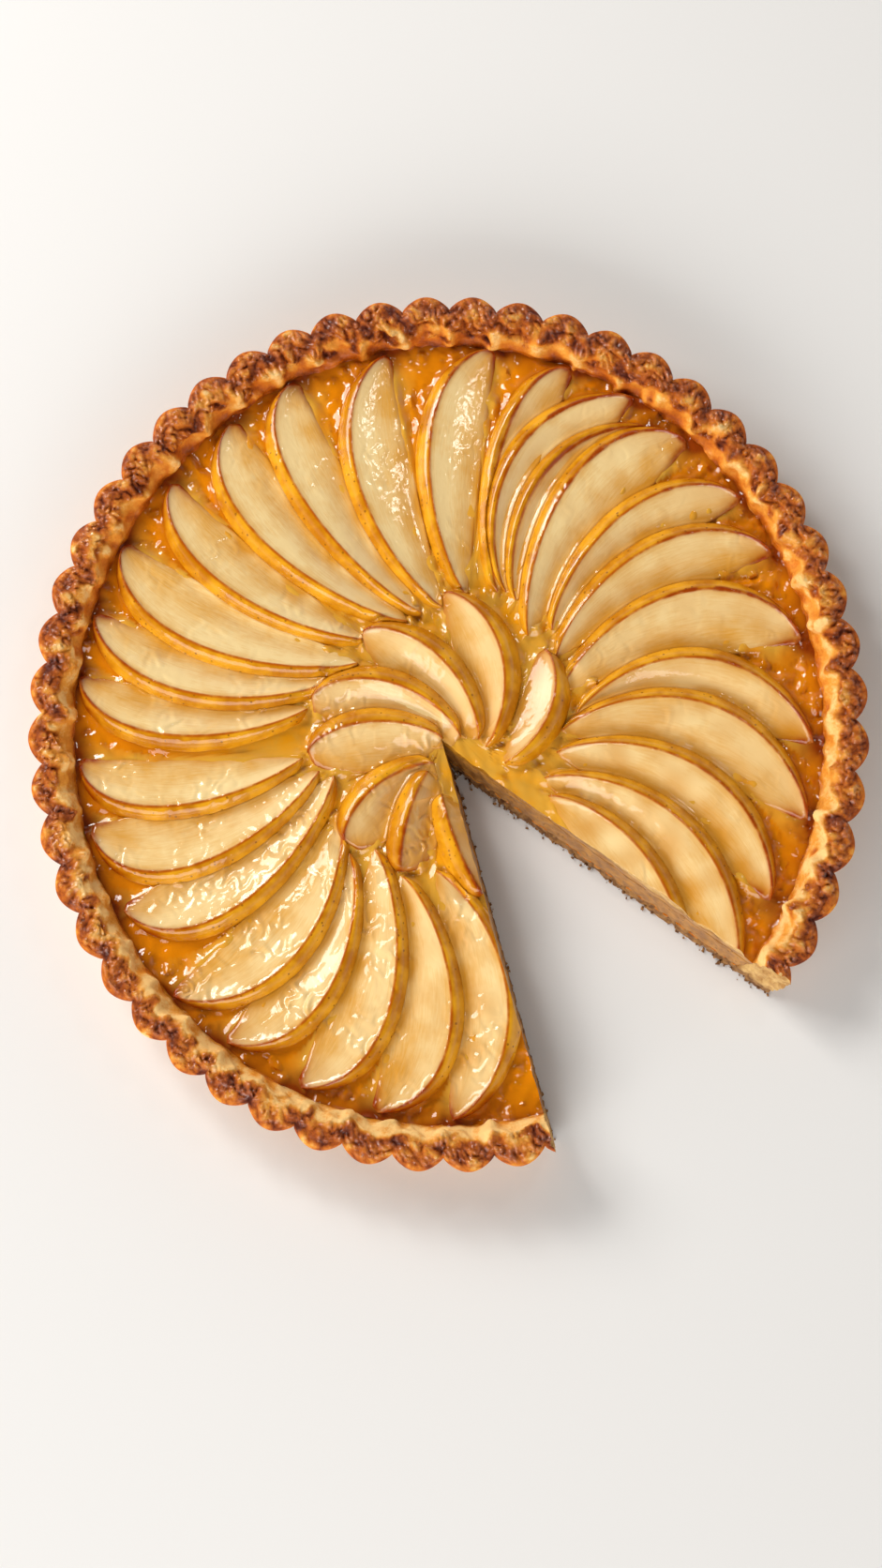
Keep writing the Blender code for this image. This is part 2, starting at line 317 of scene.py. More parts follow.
two_slots(cutter)
cutter.data.polygons.foreach_set("material_index", [1] * len(cutter.data.polygons))
print("cutter faces:", len(cutter.data.polygons))

# %% [markdown]
# The cut is a Boolean modifier. Of its solvers, Manifold is the quick one, and it leaves these
# fine meshes closed. A Boolean makes new points that know nothing of the values worked out for
# the old ones, so each takes them from its nearest old point. The cut faces take the cutter's
# second material slot, and so a finish of their own.

# %% Cutting and finishing
def cut_wedge(obj, *values):
    """Take the missing wedge out of a piece, and give back its values for the points it has now."""
    old = kdtree.KDTree(len(obj.data.vertices))
    for n, point in enumerate(get_points(obj)):
        old.insert(point, n)
    old.balance()
    only(obj)
    two_slots(obj)
    cut = obj.modifiers.new("wedge", "BOOLEAN")
    cut.object = cutter
    cut.operation = "DIFFERENCE"
    cut.solver = "MANIFOLD"
    bpy.ops.object.modifier_apply(modifier=cut.name)
    nearest = [old.find(point)[1] for point in get_points(obj)]
    return [value[nearest] for value in values]


def finish_piece(obj, materials, slot, *nodes, smooth=40):
    """Smooth a piece, give it its materials, and let it stand for its solids."""
    only(obj)
    bpy.ops.object.shade_smooth_by_angle(angle=math.radians(smooth))
    places = [face.material_index for face in obj.data.polygons]
    obj.data.materials.clear()
    for material in materials:
        obj.data.materials.append(material)
    obj.data.polygons.foreach_set("material_index", np.minimum(places, len(materials) - 1))
    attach(obj, "root")
    if nodes:
        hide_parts(*nodes)


# %% [markdown]
# Materials. Each one is built from nodes, with no pictures, so it looks as sharp from near as
# from afar. A short helper adds a node and fills its inputs, and what it is given can be a plain
# value or another node's output, which is then linked. All patterns are placed by the point's
# own place on the tart, or by values that were stored with its form.

# %% Node helpers
def paint(code):
    """A colour from its usual six-letter code, as the linear values that shaders use."""
    shares = [int(code[n:n + 2], 16) / 255 for n in (0, 2, 4)]
    return [s / 12.92 if s <= 0.04045 else ((s + 0.055) / 1.055) ** 2.4 for s in shares] + [1.0]


def add(tree, kind, values=None, **settings):
    """Add a node to a tree, with settings and with values or links on its inputs."""
    made = tree.nodes.new(kind)
    for name, value in settings.items():
        setattr(made, name, value)
    for name, value in (values or {}).items():
        socket = made.inputs[name]
        if isinstance(value, bpy.types.NodeSocket):
            tree.links.new(value, socket)
        else:
            socket.default_value = value
    return made


def maths(tree, operation, a, b=0.0, c=0.0):
    return add(tree, "ShaderNodeMath", {0: a, 1: b, 2: c}, operation=operation).outputs[0]


def blend(tree, share, a, b):
    """Mix two colours: share 0 is all a, share 1 all b."""
    return add(tree, "ShaderNodeMix", {0: share, 6: a, 7: b}, data_type="RGBA").outputs[2]


def span(tree, value, low, high, to_low=0.0, to_high=1.0):
    """Stretch a value from one span to another, with soft ends."""
    made = add(tree, "ShaderNodeMapRange", {0: value, 1: low, 2: high, 3: to_low, 4: to_high},
               interpolation_type="SMOOTHSTEP")
    return made.outputs[0]


def parts(tree, name):
    """The three values that were stored for each point under this name."""
    read = add(tree, "ShaderNodeAttribute", attribute_name=name)
    return add(tree, "ShaderNodeSeparateXYZ", {0: read.outputs["Vector"]}).outputs


def noise(tree, spot, scale, detail, roughness=0.5, distortion=0.0):
    """A noise texture's value, which drifts about a half."""
    values = {"Vector": spot, "Scale": scale, "Detail": detail, "Roughness": roughness,
              "Distortion": distortion}
    return add(tree, "ShaderNodeTexNoise", values).outputs[0]


def feed(shader, name, value):
    """Link another node's output to one of the shader's inputs."""
    shader.id_data.links.new(value, shader.inputs[name])


def raise_grain(shader, height, distance, strength=1.0):
    """Let a value stand up from the surface as small relief."""
    values = {"Strength": strength, "Distance": distance, "Height": height}
    feed(shader, "Normal", add(shader.id_data, "ShaderNodeBump", values).outputs[0])


def new_material(name):
    """A material with its tree, its shader, and each point's own place on the tart."""
    made = bpy.data.materials.new(name)
    made.use_nodes = True
    tree = made.node_tree
    spot = add(tree, "ShaderNodeTexCoord").outputs["Object"]
    return made, tree, tree.nodes["Principled BSDF"], spot


# %% [markdown]
# Two effects are used by several materials, so each is a node group. Mottle is a soft patchy
# value, for colour that drifts over a surface. Specks is a mask of small scattered dots, for
# pores and the brown dots on pear skin.

# %% Node groups
def new_group(name, inputs, output):
    """An empty node group: its first input is a place, all others and the output are numbers."""
    tree = bpy.data.node_groups.new(name, "ShaderNodeTree")
    for label in inputs:
        kind = "NodeSocketVector" if label == "Vector" else "NodeSocketFloat"
        tree.interface.new_socket(name=label, in_out="INPUT", socket_type=kind)
    tree.interface.new_socket(name=output, in_out="OUTPUT", socket_type="NodeSocketFloat")
    return tree, tree.nodes.new("NodeGroupInput").outputs, tree.nodes.new("NodeGroupOutput").inputs


mottle, given, result = new_group("mottle", ("Vector", "Scale", "Low", "High"), "Value")
cloud = noise(mottle, given["Vector"], given["Scale"], 3.0, 0.55)
mottle.links.new(span(mottle, cloud, given["Low"], given["High"]), result["Value"])

specks, given, result = new_group("specks", ("Vector", "Scale", "Size", "Share"), "Mask")
seeds = add(specks, "ShaderNodeTexVoronoi", {"Vector": given["Vector"], "Scale": given["Scale"]})
dot = maths(specks, "LESS_THAN", seeds.outputs["Distance"], given["Size"])
chosen = add(specks, "ShaderNodeSeparateColor", {0: seeds.outputs["Color"]}).outputs[0]
picked = maths(specks, "LESS_THAN", chosen, given["Share"])
specks.links.new(maths(specks, "MULTIPLY", dot, picked), result["Mask"])


def use(tree, group, **values):
    """Put a node group in a material's tree, with its own values, and give back its output."""
    return add(tree, "ShaderNodeGroup", values, node_tree=group).outputs[0]


def drifting(tree, spot, scale, a, b):
    """A colour that drifts in soft patches between two others."""
    return blend(tree, use(tree, mottle, Vector=spot, Scale=scale, Low=0.3, High=0.7), a, b)


print("node groups:", [group.name for group in bpy.data.node_groups])

# %% [markdown]
# Glazed pear. The flesh is cream with faint fibres along the slice, and amber where glaze has
# pooled. The skin is gold with small brown dots, and its edge is a fine brown line that is
# darker where the oven has caught it. The glaze on top could be a clear coat over a duller
# flesh. One polished surface is simpler: it keeps the highlights crisp, and a very low relief
# breaks them up as the pear's grain does.

# %% Pear material
FLESH_PALE, FLESH_DEEP = paint("F8DA9C"), paint("DEA03C")
POOL_AMBER, SKIN_GOLD, SKIN_DEEP = paint("CC8410"), paint("ECA61E"), paint("C07404")
SKIN_DOT, EDGE_BROWN, TOASTED = paint("85500C"), paint("B85804"), paint("9A3A02")
FIBRE_LENGTHS, FIBRE_WIDTHS = 160.0, 34.0
pear_material, tree, shader, spot = new_material("glazed_pear")
along, share, beside = parts(tree, "grain")
skin, pool, toast = parts(tree, "tint")
fibre_way = add(tree, "ShaderNodeCombineXYZ", {0: maths(tree, "MULTIPLY", along, FIBRE_LENGTHS),
                                               1: maths(tree, "MULTIPLY", share, FIBRE_WIDTHS)})
fibre = noise(tree, fibre_way.outputs[0], 1.0, 4.0, 0.6)
drift = use(tree, mottle, Vector=spot, Scale=70.0, Low=0.35, High=0.68)
depth = maths(tree, "MULTIPLY_ADD", drift, 0.45, maths(tree, "MULTIPLY_ADD", fibre, 1.0, -0.37))
depth = maths(tree, "ADD", depth, span(tree, share, 0.8, 0.3, -0.3, 0.25))
depth = maths(tree, "ADD", depth, span(tree, share, 0.82, 1.0, 0.0, 0.4))
flesh = blend(tree, depth, FLESH_PALE, FLESH_DEEP)
flesh = blend(tree, maths(tree, "MULTIPLY", pool, 0.85), flesh, POOL_AMBER)
rind = drifting(tree, spot, 110.0, SKIN_GOLD, SKIN_DEEP)
dots = use(tree, specks, Vector=spot, Scale=520.0, Size=0.22, Share=0.28)
rind = blend(tree, maths(tree, "MULTIPLY", dots, 0.7), rind, SKIN_DOT)
whole = blend(tree, skin, flesh, rind)
edge = span(tree, maths(tree, "ABSOLUTE", maths(tree, "SUBTRACT", beside, 0.15)), 0.8, 0.1)
patchy = use(tree, mottle, Vector=spot, Scale=240.0, Low=0.25, High=0.6)
edge = maths(tree, "MULTIPLY", edge, maths(tree, "MULTIPLY_ADD", patchy, 0.5, 0.45))
whole = blend(tree, edge, whole, EDGE_BROWN)
whole = blend(tree, maths(tree, "MULTIPLY", toast, maths(tree, "MULTIPLY_ADD", patchy, 0.5, 0.5)),
              whole, TOASTED)
feed(shader, "Base Color", whole)
grainy = noise(tree, spot, 620.0, 1.0, distortion=0.6)
raise_grain(shader, maths(tree, "MULTIPLY_ADD", fibre, 0.3, grainy), 0.03 * MM)
shader.inputs["Roughness"].default_value = 0.07
shader.inputs["IOR"].default_value = 1.47

# %% Cut pear material
cut_pear_material, tree, shader, spot = new_material("cut_pear")
feed(shader, "Base Color", drifting(tree, spot, 500.0, paint("DDB268"), paint("C8943E")))
shader.inputs["Roughness"].default_value = 0.4

# %% [markdown]
# Set jelly. It is a deep amber where it lies thick by the rim and pale gold in the middle, where
# the cream shows through it. Light passes through real jelly, but a see-through layer takes long
# to render and needs all that lies under it. So its depth is in its colours, and a polished
# surface is all it needs besides, as its form does the rest.

# %% Jelly material
JELLY_PALE, JELLY_GOLD, JELLY_CREAM = paint("E6980E"), paint("D69C36"), paint("DCA238")
JELLY_AMBER, JELLY_DEEP, JELLY_DARK = paint("E98A04"), paint("CC7404"), paint("843402")
jelly_material, tree, shader, spot = new_material("set_jelly")
# The second stored value darkens the jelly: painted shade by the wall and by the skin side of a
# slice, and caramel round the tips
outward, shade_and_caramel, cream = parts(tree, "tint")
drift = use(tree, mottle, Vector=spot, Scale=55.0, Low=0.3, High=0.7)
amber = blend(tree, maths(tree, "MULTIPLY", drift, 0.6), JELLY_AMBER, JELLY_DEEP)
amber = blend(tree, outward, drifting(tree, spot, 120.0, JELLY_PALE, JELLY_GOLD), amber)
amber = blend(tree, cream, amber, JELLY_CREAM)
feed(shader, "Base Color", blend(tree, shade_and_caramel, amber, JELLY_DARK))
shader.inputs["Roughness"].default_value = 0.05
shader.inputs["IOR"].default_value = 1.52

# %% Cut jelly material
cut_jelly_material, tree, shader, spot = new_material("cut_jelly")
feed(shader, "Base Color", drifting(tree, spot, 300.0, paint("C08426"), paint("9C6010")))
shader.inputs["Roughness"].default_value = 0.3

# %% [markdown]
# Baked shortcrust. It runs from pale dough to dark brown, and a noise texture alone can't know
# which parts the oven has caught. So how brown each point is gets worked out with the crust's
# form and stored with it, together with painted shade in its cracks, in the corner by the jelly
# and on the side that faces away from the light, and a painted highlight that leaves the blister
# tops paler. A colour ramp turns that into colour. Three more values are stored: how much glaze
# the point has caught, how craggy it is, and how far down the outer wall, where the dough is
# plainer.

# %% Crust material
crust_material, tree, shader, spot = new_material("baked_shortcrust")
# The first stored value is browning with painted shade and a painted highlight worked into it
bake_and_shade, gloss, craggy = parts(tree, "tint")
side = parts(tree, "side")[0]
fine = noise(tree, spot, 1000.0, 5.0, 0.7)
broad = use(tree, mottle, Vector=spot, Scale=210.0, Low=0.25, High=0.75)
browned_and_shaded = maths(tree, "ADD", bake_and_shade, maths(tree, "MULTIPLY_ADD", fine, 0.5, -0.25))
browned_and_shaded = maths(tree, "ADD", browned_and_shaded, maths(tree, "MULTIPLY_ADD", broad, 0.14, -0.07))
ramp = add(tree, "ShaderNodeValToRGB", {0: browned_and_shaded})
BAKE_STEPS = ((0.03, "FFD084"), (0.2, "F0A038"), (0.42, "D67418"), (0.64, "B0520C"), (0.92, "662204"))
while len(ramp.color_ramp.elements) < len(BAKE_STEPS):
    ramp.color_ramp.elements.new(0.5)
for step, (place, code) in zip(ramp.color_ramp.elements, BAKE_STEPS):
    step.position = place
    step.color = paint(code)
plain = blend(tree, span(tree, browned_and_shaded, 0.2, 0.6), paint("DEA462"), paint("AE6C38"))
feed(shader, "Base Color", blend(tree, side, ramp.outputs[0], plain))
relief = maths(tree, "MULTIPLY", fine, maths(tree, "MULTIPLY_ADD", craggy, 0.65, 0.35))
raise_grain(shader, relief, 1.1 * MM)
feed(shader, "Roughness", span(tree, gloss, 0.0, 1.0, 0.6, 0.12))
feed(shader, "Coat Weight", maths(tree, "MULTIPLY", gloss, 0.9))
shader.inputs["Coat Roughness"].default_value = 0.14
shader.inputs["Specular IOR Level"].default_value = 0.25

# %% [markdown]
# Torn crust, as the knife leaves it: dry and full of crumbs, pale in the side and darker in the
# base.

# %% Torn crust material
crumb_material, tree, shader, spot = new_material("torn_crust")
up = add(tree, "ShaderNodeSeparateXYZ", {0: spot}).outputs[2]
low = drifting(tree, spot, 420.0, paint("A8763C"), paint("6A4018"))
high = drifting(tree, spot, 420.0, paint("E0B670"), paint("B88444"))
feed(shader, "Base Color", blend(tree, span(tree, up, 4 * MM, 8 * MM), low, high))
raise_grain(shader, noise(tree, spot, 900.0, 4.0, 0.7), 0.5 * MM, strength=0.8)
shader.inputs["Roughness"].default_value = 0.75

# %% [markdown]
# Cream filling. It is soft and dense, with small pores that show where the knife went through.
# The larger pits come from the cutter's form, so the material only adds the finest ones.

# %% Filling material
# Partly painted shade: the cream is darker and browner than the filling's own colour, as its cut
# faces lie in shade
CREAM_WITH_SHADE, CREAM_DEEP_WITH_SHADE, PORE = paint("BC8238"), paint("92602C"), paint("643C18")
filling_material, tree, shader, spot = new_material("cream_filling")
holes = use(tree, specks, Vector=spot, Scale=620.0, Size=0.3, Share=0.35)
cream = drifting(tree, spot, 240.0, CREAM_WITH_SHADE, CREAM_DEEP_WITH_SHADE)
feed(shader, "Base Color", blend(tree, maths(tree, "MULTIPLY", holes, 0.55), cream, PORE))
raise_grain(shader, noise(tree, spot, 900.0, 3.0), 0.3 * MM, strength=0.5)
shader.inputs["Roughness"].default_value = 0.5
print("materials:", [m.name for m in bpy.data.materials])

# %% [markdown]
# The pear slices. In the ring, each row says where the blunt tip lies, where the neck lies and
# how far the skin side bulges out from the straight line between them. The rosette in the middle
# turns the other way. The numbers are the model's own, so that each slice meets its solid.

# %% Slices of the ring
# Tip angle, the neck's turn from it, the tip's and the neck's distance, bulge, place of the belly,
# and how much the oven has caught the skin's edge
RING_SLICES = (
    (270.0, -6.5, 126, 47, 22.0, 0.45, 0.2),
    (258.0, -6.5, 126, 51, 23.0, 0.38, 0.4),
    (246.0, -9.0, 126, 47, 22.0, 0.38, 0.3),
    (233.0, -3.0, 126, 53, 21.0, 0.40, 0.2),
    (222.5, -6.5, 127, 46, 23.0, 0.43, 0.3),
    (207.5, -6.0, 125, 42, 22.0, 0.37, 0.4),
    (194.5, 3.0, 126, 46, 23.0, 0.35, 0.4),
    (184.5, 6.5, 126, 50, 18.0, 0.36, 0.5),
    (172.0, 0.5, 127, 48, 17.5, 0.39, 0.5),
    (162.5, -3.5, 127, 43, 19.0, 0.42, 0.5),
    (151.0, -6.0, 127, 37, 21.5, 0.38, 0.4),
    (139.0, -5.0, 125, 40, 18.0, 0.39, 0.3),
    (125.5, -14.5, 126, 37, 21.5, 0.36, 0.2),
    (114.0, -11.0, 127, 38, 19.0, 0.34, 0.2),
    (99.0, -7.0, 126, 39, 20.5, 0.41, 0.3),
    (82.0, -1.0, 127, 43, 19.5, 0.38, 0.5),
    (69.5, -1.0, 127, 47, 15.5, 0.36, 0.6),
    (59.0, 6.0, 127, 48, 24.0, 0.47, 0.9),
    (54.0, 6.0, 121, 47, 20.0, 0.45, 0.6),
    (48.0, -1.5, 126, 40, 23.5, 0.37, 0.9),
    (36.0, 5.0, 126, 47, 19.5, 0.41, 0.5),
    (26.5, 4.5, 125, 43, 20.5, 0.42, 0.5),
    (12.5, 3.5, 124, 40, 25.0, 0.42, 0.9),
    (357.0, 6.5, 124, 43, 25.0, 0.49, 0.6),
    (345.5, 11.0, 125, 38, 26.0, 0.49, 0.5),
    (332.0, 13.5, 122, 37, 24.0, 0.48, 0.6),
    (319.0, 12.0, 126, 36, 24.5, 0.50, 0.5),
    (308.0, 17.0, 126, 40, 19.5, 0.54, 0.4),
)

# %% Slices of the rosette
# Tip angle and distance, neck angle and distance, bulge, swell of the core side, and toasting
ROSETTE_SLICES = (
    (39.0, 41, 326.0, 22, 9.5, 1, 0.2),
    (93.5, 44, 328.5, 14, 14.0, 1, 0.3),
    (134.5, 43, 334.0, 11, 11.5, 5, 0.4),
    (170.0, 48, 313.0, 6, 12.0, 8, 0.4),
    (191.0, 49, 250.0, 5, 8.0, 8, 0.6),
    (227.5, 52, 250.0, 13, 7.0, 9, 0.6),
    (251.5, 50, 246.0, 16, 2.5, 9, 0.9),
    (282.0, 56, 264.0, 22, 2.0, 6, 0.9),
)


# %% One slice's form
CLEARANCE = 0.4 * MM
CORE_EDGE = 1.7 * MM
FLESH_HOLLOW = 2.6 * MM
CORE_ROUND = 0.9 * MM
END_ROUND, END_DROP = 2.8 * MM, 1.6 * MM
NEAREST_END = 0.004


class Slice:
    """A slice's straight line from tip to neck, and its heights and widths across that line."""

    def __init__(self, name, tip, neck, bulge, belly, core, band, crest, toast):
        self.name, self.belly, self.core, self.toast = name, belly, core, toast
        self.bulge, self.band, self.crest = abs(bulge), band, crest
        self.in_rosette = "inner" in name
        self.tip = tip
        self.length = float(np.linalg.norm(neck - tip))
        self.way = (neck - tip) / self.length
        self.across = np.array((-self.way[1], self.way[0])) * math.copysign(1, bulge)

    def widths(self, share):
        """Crease, core side, band's width and crest's height at a share of the length."""
        share = np.clip(share, NEAREST_END, 1 - NEAREST_END)
        skewed = share ** (math.log(0.5) / math.log(self.belly))
        fullness = np.clip(4 * skewed * (1 - skewed), 0, None) ** 0.80
        arch = np.sin(np.pi * share)
        crease = self.bulge * fullness
        core = self.core * fullness ** 0.7 - CLEARANCE
        band = self.band * (0.55 + 0.45 * arch ** 0.5)
        return crease, core, band, self.crest * (0.62 + 0.38 * arch ** 0.6)

    def outline(self, share):
        """The two edges of the slice at a share, drawn together at the ends to round them."""
        crease, core, band = self.widths(share)[:3]
        end = unit(np.minimum(share, 1 - share) * self.length / END_ROUND)
        pinch = 1 - np.sqrt(unit(1 - (1 - end) ** 2))
        middle = crease + 0.3 * band
        return core + (middle - core) * pinch, crease + band - (crease + band - middle) * pinch

    def height(self, share, side):
        """The slice's upper surface above its base, at a share of its length and a side distance."""
        crease, core, band, crest = self.widths(share)
        inner, outer = self.outline(share)
        core_edge = np.minimum(CORE_EDGE, crest * 0.5)
        up = unit((side - core) / (crease - core))
        flesh = core_edge + (crest - core_edge) * up - FLESH_HOLLOW * up * (1 - up)
        flesh = flesh * (1 - 0.85 * np.exp(-np.clip(side - inner, 0, None) / CORE_ROUND))
        down = unit((side - crease) / (outer - crease))
        skin = crest * (1 - down ** 2.0) ** 0.8
        end = unit(np.minimum(share, 1 - share) * self.length / END_DROP)
        return np.where(side > crease, skin, flesh) * (1 - 0.7 * (1 - end) ** 2)

    def inside(self, flat):
        """How far points in plan are inside the slice's outline, and the share and side there."""
        reach = flat - self.tip
        share = reach @ self.way / self.length
        side = reach @ self.across
        inner, outer = self.outline(unit(share))
        deep = np.minimum(outer - side, side - inner)
        deep = np.minimum(deep, np.minimum(share, 1 - share) * self.length + 0.3 * MM)
        return deep, share, side


RING_CORE, RING_BAND, RING_CREST = 1.6 * MM, 5.1 * MM, 5.2 * MM
ROSETTE_BELLY, ROSETTE_BAND, ROSETTE_CREST = 0.46, 6.4 * MM, 6.3 * MM
slices = []
for number, (angle, turn, tip, neck, bulge, belly, toast) in enumerate(RING_SLICES, 1):
    ends = plan(tip * MM, angle), plan(neck * MM, angle + turn)
    slices.append(Slice("pear_outer_%02d" % number, *ends, -bulge * MM, belly,
                        RING_CORE, RING_BAND, RING_CREST, toast))
for number, (angle, tip, turn, neck, bulge, core, toast) in enumerate(ROSETTE_SLICES, 1):
    ends = plan(tip * MM, angle), plan(neck * MM, turn)
    slices.append(Slice("pear_inner_%d" % number, *ends, bulge * MM, ROSETTE_BELLY,
                        -core * MM, ROSETTE_BAND, ROSETTE_CREST, toast))
print("slices:", len(slices), "longest", round(max(s.length for s in slices) / MM), "mm")


# %% [markdown]
# One blank slice is a drum laid on its side, and every real slice is a copy of it with its own
# mesh. A point's row says how far along the slice it lies. Its turn says where it lies round the
# section: up the core side, over the flesh to the crease, down the skin, and back underneath.
# Where another slice lies on top, this one sinks towards its foot and tucks down under it, and
# the glaze climbs a little where the two meet. Cutting the slices apart would be simpler, but it
# leaves sharp notches where soft fruit only bends.

# %% Blank slice
SECTION_COLUMNS, LENGTH_ROWS = 88, 160
CORE_TURN, CREASE_TURN, FOOT_TURN = 15, 225, 315
blank = drum("blank_slice", SECTION_COLUMNS, LENGTH_ROWS)
blank_turn, blank_row = drum_places(blank)
print("blank slice:", len(blank.data.vertices), "points")


# %% Shape a slice
def section(piece, share, turn):
    """Side distance and height for each point's turn round the section."""
    inner, outer = piece.outline(share)
    crease = np.clip(piece.widths(share)[0], inner, outer)
    up = unit((turn - CORE_TURN) / (CREASE_TURN - CORE_TURN))
    down = unit((turn - CREASE_TURN) / (FOOT_TURN - CREASE_TURN))
    back = unit((turn - FOOT_TURN) / (360 - FOOT_TURN))
    side = inner + (crease - inner) * up + (outer - crease) * np.sin(down * np.pi / 2) ** 0.9
    side = side - (outer - inner) * back
    height = piece.height(share, side)
    height = np.where(turn < CORE_TURN, height * turn / CORE_TURN, height)
    height = np.where(turn >= FOOT_TURN - 1e-6, 0, height)
    return side, height


# %% How a slice lies under others
FILLET = 0.9 * MM
RING_COUNT = len(RING_SLICES)
ON_TOP_OF_EACH = 3
FAR = -9 * MM


def lying_on(number):
    """The slices that may lie on this one: the next few of its own kind, and the rosette."""
    if number >= RING_COUNT:
        return slices[number + 1:]
    return slices[number + 1:min(number + 1 + ON_TOP_OF_EACH, RING_COUNT)] + slices[RING_COUNT:]


def dip(height, near, over):
    """A slice sinks towards the foot of the one that lies on it, the flesh more than the skin."""
    share = 0.85 - 0.45 * unit(over / 2)
    share = share * np.exp(-(np.clip(-near, 0, None) / (4.5 * MM)) ** 2)
    return height - np.clip(height - 0.8 * MM, 0, None) * share


def tuck_under(flat, height, above):
    """Lower the points that lie under other slices, with a small fillet where they meet."""
    for top in above:
        deep, share, side = top.inside(flat)
        roof = top.height(unit(share), side) + np.minimum(deep, 0) * 3
        rise = FILLET * np.exp(-np.abs(height - roof) / (4 * MM)) * (deep > -5 * MM)
        ceiling = roof + 6 * MM * unit(1 - deep / MM)
        ceiling = ceiling - 0.5 * MM * unit(deep / MM - 1)
        height = np.where(deep > 0, np.minimum(height + rise, ceiling), height + rise)
    return np.maximum(height, 0)


# %% [markdown]
# What the glaze and the oven do to a slice. The glaze lies in soft waves on the flesh, beads
# along the crease and pools in the low places, thicker on one side of the tart. The oven catches
# what stands up: the skin's edge near the tip, and the tip's own rim. All of it follows each
# slice's form, so it is worked out here, point by point, and stored for the material to read.
# Distances over the crease are in millimetres, above zero on the skin.

# %% Glaze and toasting
RIPE_WAY = np.array((0.87, -0.5))


def waves_and_beads(piece, flat, lowered, over):
    """The height of the glaze's own relief, in millimetres."""
    bent = flat + 1.3 * MM * np.column_stack([ripples(flat, 7 * MM, 16), ripples(flat, 7 * MM, 17)])
    facing = 0.5 - 0.5 * (piece.tip[0] + 1.4 * piece.tip[1]) / (1.72 * np.linalg.norm(piece.tip))
    strong = np.clip(0.55 + 0.6 * ripples(flat, 26 * MM, 18), 0.15, 1.4) * (0.25 + facing ** 2)
    waves = 0.14 * strong * ripples(bent, 6.5 * MM, 11) + 0.014 * ripples(bent, 2.6 * MM, 12)
    waves = waves * np.where(over > 0, 0.4, 1) * unit(lowered / (1.5 * MM))
    beads = 0.12 * np.exp(-(over / 0.5) ** 2) * (1 + 0.5 * ripples(flat, 2 * MM, 13))
    return waves + beads * (lowered > 2.5 * MM)


def pooled(piece, flat, near, from_core, from_tip):
    """How much glaze has pooled: at the foot of the next slice, by the core and at the tip."""
    pool = 0.7 * np.exp(-np.clip(-near - 0.5 * MM, 0, None) / (1.8 * MM))
    pool = pool + 0.8 * np.exp(-from_core / (2.0 * MM)) + 0.35 * np.exp(-from_tip / (9 * MM))
    pool = pool * (0.8 + 0.25 * ripples(flat, 14 * MM, 14))
    ripe = 0.5 + 0.5 * (flat @ RIPE_WAY) / np.linalg.norm(flat, axis=1)
    pool = pool + 0.42 * ripe ** 1.5 * (1 + 0.3 * ripples(flat, 14 * MM, 19))
    return pool + 0.1 + 0.35 * piece.toast ** 2 if piece.in_rosette else pool


def toasted(piece, flat, share, over, rim):
    """How much the oven has caught the skin's edge, the tip's rim and the crease behind it."""
    from_tip = share * piece.length
    caught = np.exp(-((share - 0.3) / 0.24) ** 2) * np.clip(0.5 + ripples(flat, 9 * MM, 15), 0, 1.3)
    heat = (2.6 * piece.toast - 0.7) * caught * np.exp(-((over - 0.35) / 0.75) ** 2)
    tip = np.exp(-(from_tip / (9 * MM)) ** 2) * (0.1 + 0.9 * np.exp(-(rim / (2.0 * MM)) ** 2))
    heat = unit(heat) + (1.0 + piece.toast) * tip
    crease_heat = np.exp(-(from_tip / (20 * MM)) ** 2 - (over / 0.8) ** 2)
    heat = heat + (0.4 + piece.toast) * crease_heat
    return heat * (0.5 if piece.in_rosette else 1)


# %% Make the slices
def turn_faces(obj):
    """Turn every face of a mesh over."""
    only(obj)
    bpy.ops.object.mode_set(mode="EDIT")
    bpy.ops.mesh.select_all(action="SELECT")
    bpy.ops.mesh.flip_normals()
    bpy.ops.object.mode_set(mode="OBJECT")


def make_slice(piece, above):
    """Copy the blank, shape it as this slice, store its values, cut it and finish it."""
    obj = blank.copy()
    obj.data = blank.data.copy()
    obj.name = obj.data.name = "glazed_" + piece.name
    bpy.context.collection.objects.link(obj)
    # Rows lie closer together towards both ends
    share = 0.45 * blank_row + 0.55 * (0.5 - 0.5 * np.cos(np.pi * blank_row))
    share = 0.002 + 0.996 * share
    side, height = section(piece, share, blank_turn)
    crease, core = piece.widths(share)[:2]
    inner, outer = piece.outline(share)
    from_tip = share * piece.length
    flat = piece.tip + np.outer(from_tip, piece.way) + np.outer(side, piece.across)
    near = np.max([top.inside(flat)[0] for top in above] + [np.full(len(flat), FAR)], axis=0)
    over = (side - crease) / MM
    lowered = tuck_under(flat, dip(height, near, over), above)
    relief = waves_and_beads(piece, flat, lowered, over) * MM
    set_points(obj, np.column_stack([flat, PEAR_BASE + lowered + relief]))
    if piece.in_rosette:
        # The rosette curves the other way, which would leave its slices inside out
        turn_faces(obj)
    skin = unit(over / 0.5 + 0.5)
    pool = pooled(piece, flat, near, side - inner, from_tip)
    rim = np.minimum(np.minimum(outer - side, side - inner), from_tip)
    heat = toasted(piece, flat, share, over, rim)
    grain = (from_tip, (side - core) / (crease - core), over)
    tint = (skin, unit(pool) * (1 - skin), unit(heat))
    if (cut_depth(get_points(obj)) > -1 * MM).any():
        kept = cut_wedge(obj, *grain, *tint)
        grain, tint = kept[:3], kept[3:]
    keep_value(obj, "grain", grain)
    keep_value(obj, "tint", tint)
    finish_piece(obj, [pear_material, cut_pear_material], "pear", piece.name, smooth=75)
    return obj


